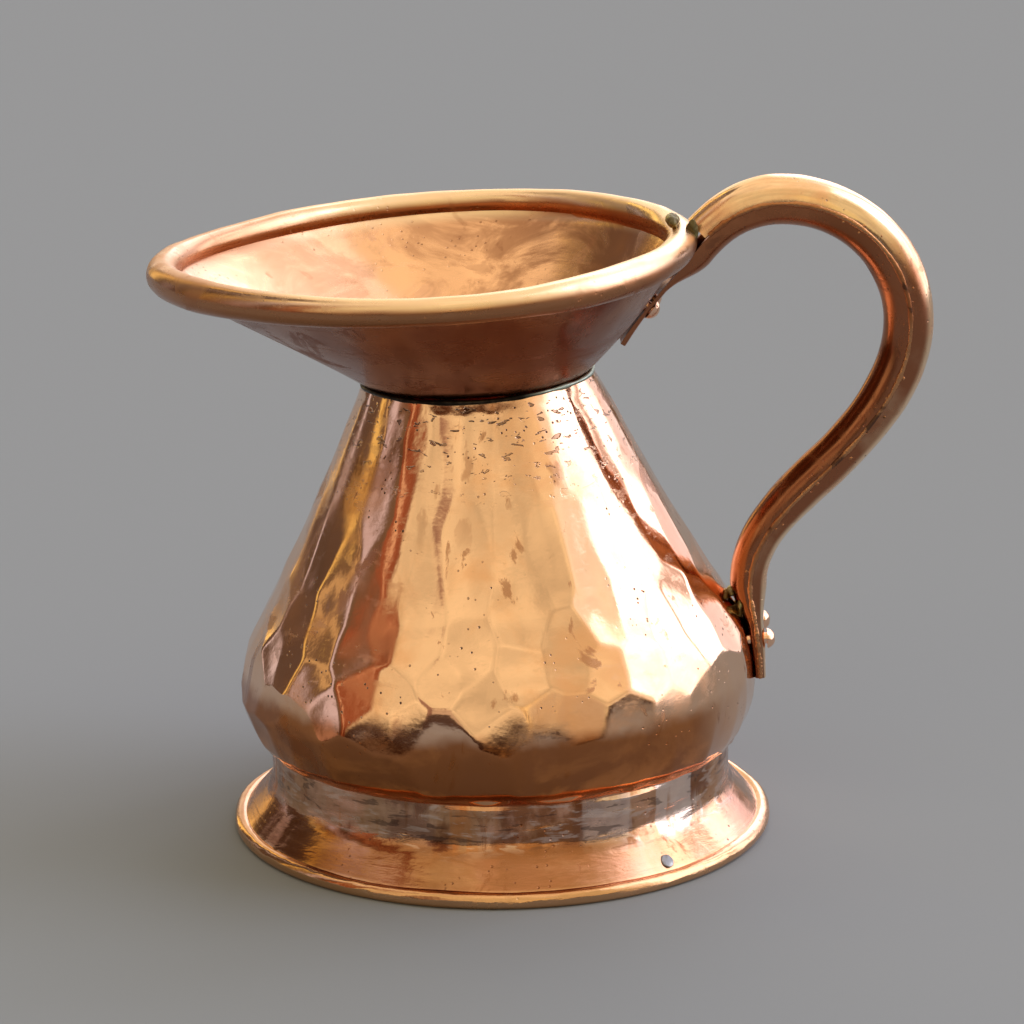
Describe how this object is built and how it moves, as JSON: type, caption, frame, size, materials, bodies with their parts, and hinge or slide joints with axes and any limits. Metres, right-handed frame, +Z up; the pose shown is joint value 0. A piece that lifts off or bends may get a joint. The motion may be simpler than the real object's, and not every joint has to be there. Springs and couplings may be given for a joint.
{
  "type": "pouring jug",
  "caption": "Haystack-shaped hammered copper measure with a wide egg-shaped pouring funnel, a flared foot and a riveted loop handle.",
  "frame": {"origin": "centre of the foot, on the surface that the jug stands on", "axes": "+Z up, the spout along -X, the handle along +X, and the jug's plane of symmetry is XZ"},
  "size_m": [0.2136, 0.1546, 0.1821],
  "materials": {
    "body_copper": null,
    "foot_copper": "polished copper, scratched around",
    "funnel_copper": "polished copper, mottled with tarnish inside",
    "handle_copper": "worn brown copper, bright along its outer edge",
    "rivet_copper": "bright hammered copper",
    "wire": "iron wire inside the rolled edges, hidden",
    "dull_copper": "dull brown copper",
    "lead_plug": null,
    "dark_solder": "dark oxidised soft solder",
    "green_solder": "yellow-green hard solder with verdigris",
    "braze": "rough brazed seam"
  },
  "bodies": {
    "root": {"body_wall": "body_copper", "base_disc": "dull_copper", "foot_ring": "foot_copper", "foot_wire": "wire", "foot_plug": "lead_plug", "funnel": "funnel_copper", "rim_wire": "wire", "neck_solder": "dark_solder", "foot_solder": "dark_solder", "base_solder": "dark_solder", "handle_back": "handle_copper", "handle_inner": "handle_copper", "handle_braze": "braze", "upper_rivet_near": "rivet_copper", "upper_rivet_far": "rivet_copper", "lower_rivet_near": "rivet_copper", "lower_rivet_far": "rivet_copper", "upper_handle_solder": "green_solder", "lower_handle_solder": "green_solder"}
  },
  "joints": []
}
